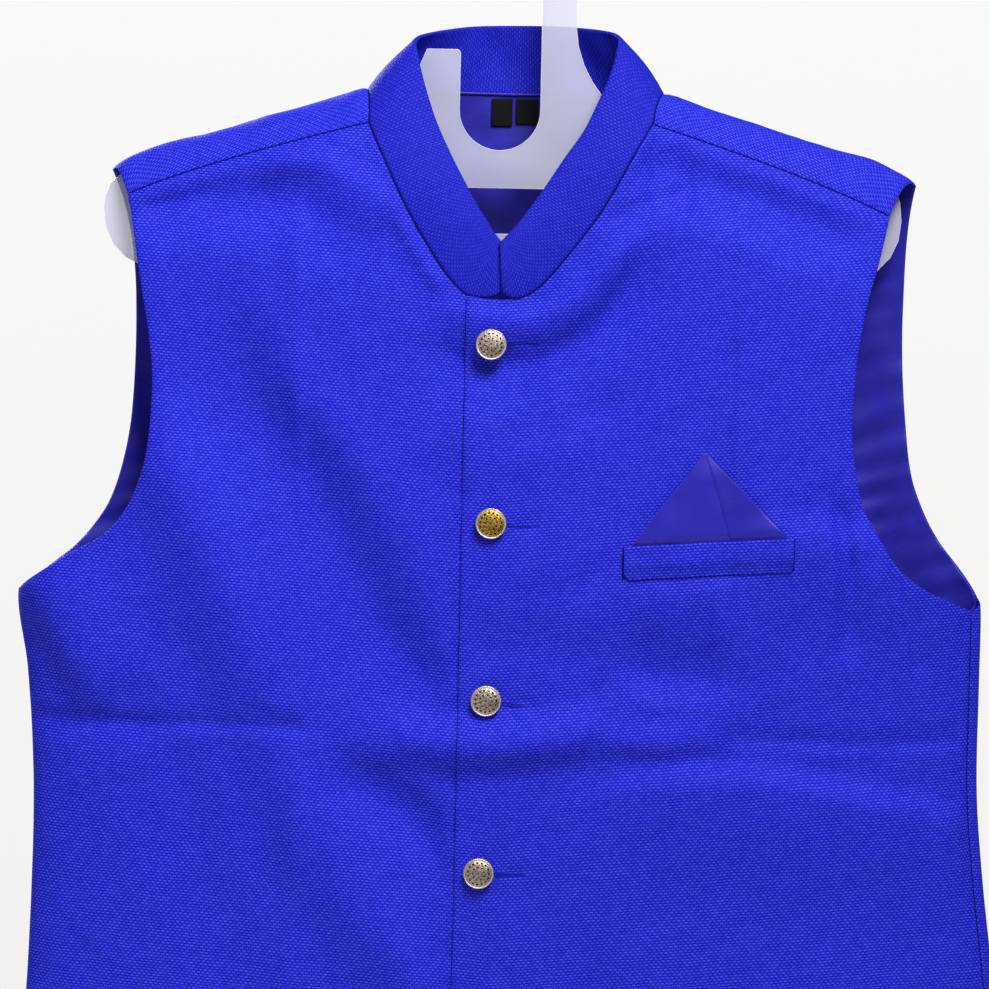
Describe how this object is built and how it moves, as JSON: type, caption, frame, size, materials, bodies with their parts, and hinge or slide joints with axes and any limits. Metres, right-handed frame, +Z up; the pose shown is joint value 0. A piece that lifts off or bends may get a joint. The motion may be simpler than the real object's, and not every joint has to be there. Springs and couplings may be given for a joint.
{
  "type": "nehru jacket on hanger",
  "caption": "Sleeveless band-collar jacket in royal blue, buttoned to the neck, with a chest pocket square, hanging on a flat plastic hanger.",
  "frame": {"origin": "inside top of the hanger's hook, where the rail carries it", "axes": "+Z up, -Y the jacket's front, +X the wearer's left"},
  "size_m": [0.5849, 0.0788, 0.8547],
  "materials": {
    "royal_blue_suiting": "matte basket weave",
    "lining_satin": "satin",
    "woven_label": "woven",
    "antique_brass": "antiqued",
    "frosted_plastic": "frosted translucent sheet"
  },
  "bodies": {
    "root": {"front_right": "royal_blue_suiting", "front_left": "royal_blue_suiting", "back": "royal_blue_suiting", "back_lining": "lining_satin", "collar": "royal_blue_suiting", "pocket_welt": "royal_blue_suiting", "pocket_square_under": "lining_satin", "pocket_square_over": "lining_satin", "neck_label_wide": "woven_label", "neck_label_narrow": "woven_label", "button_1": "antique_brass", "button_2": "antique_brass", "button_3": "antique_brass", "button_4": "antique_brass", "button_5": "antique_brass", "hanger": "frosted_plastic", "hanger_hook": "frosted_plastic"}
  },
  "joints": []
}
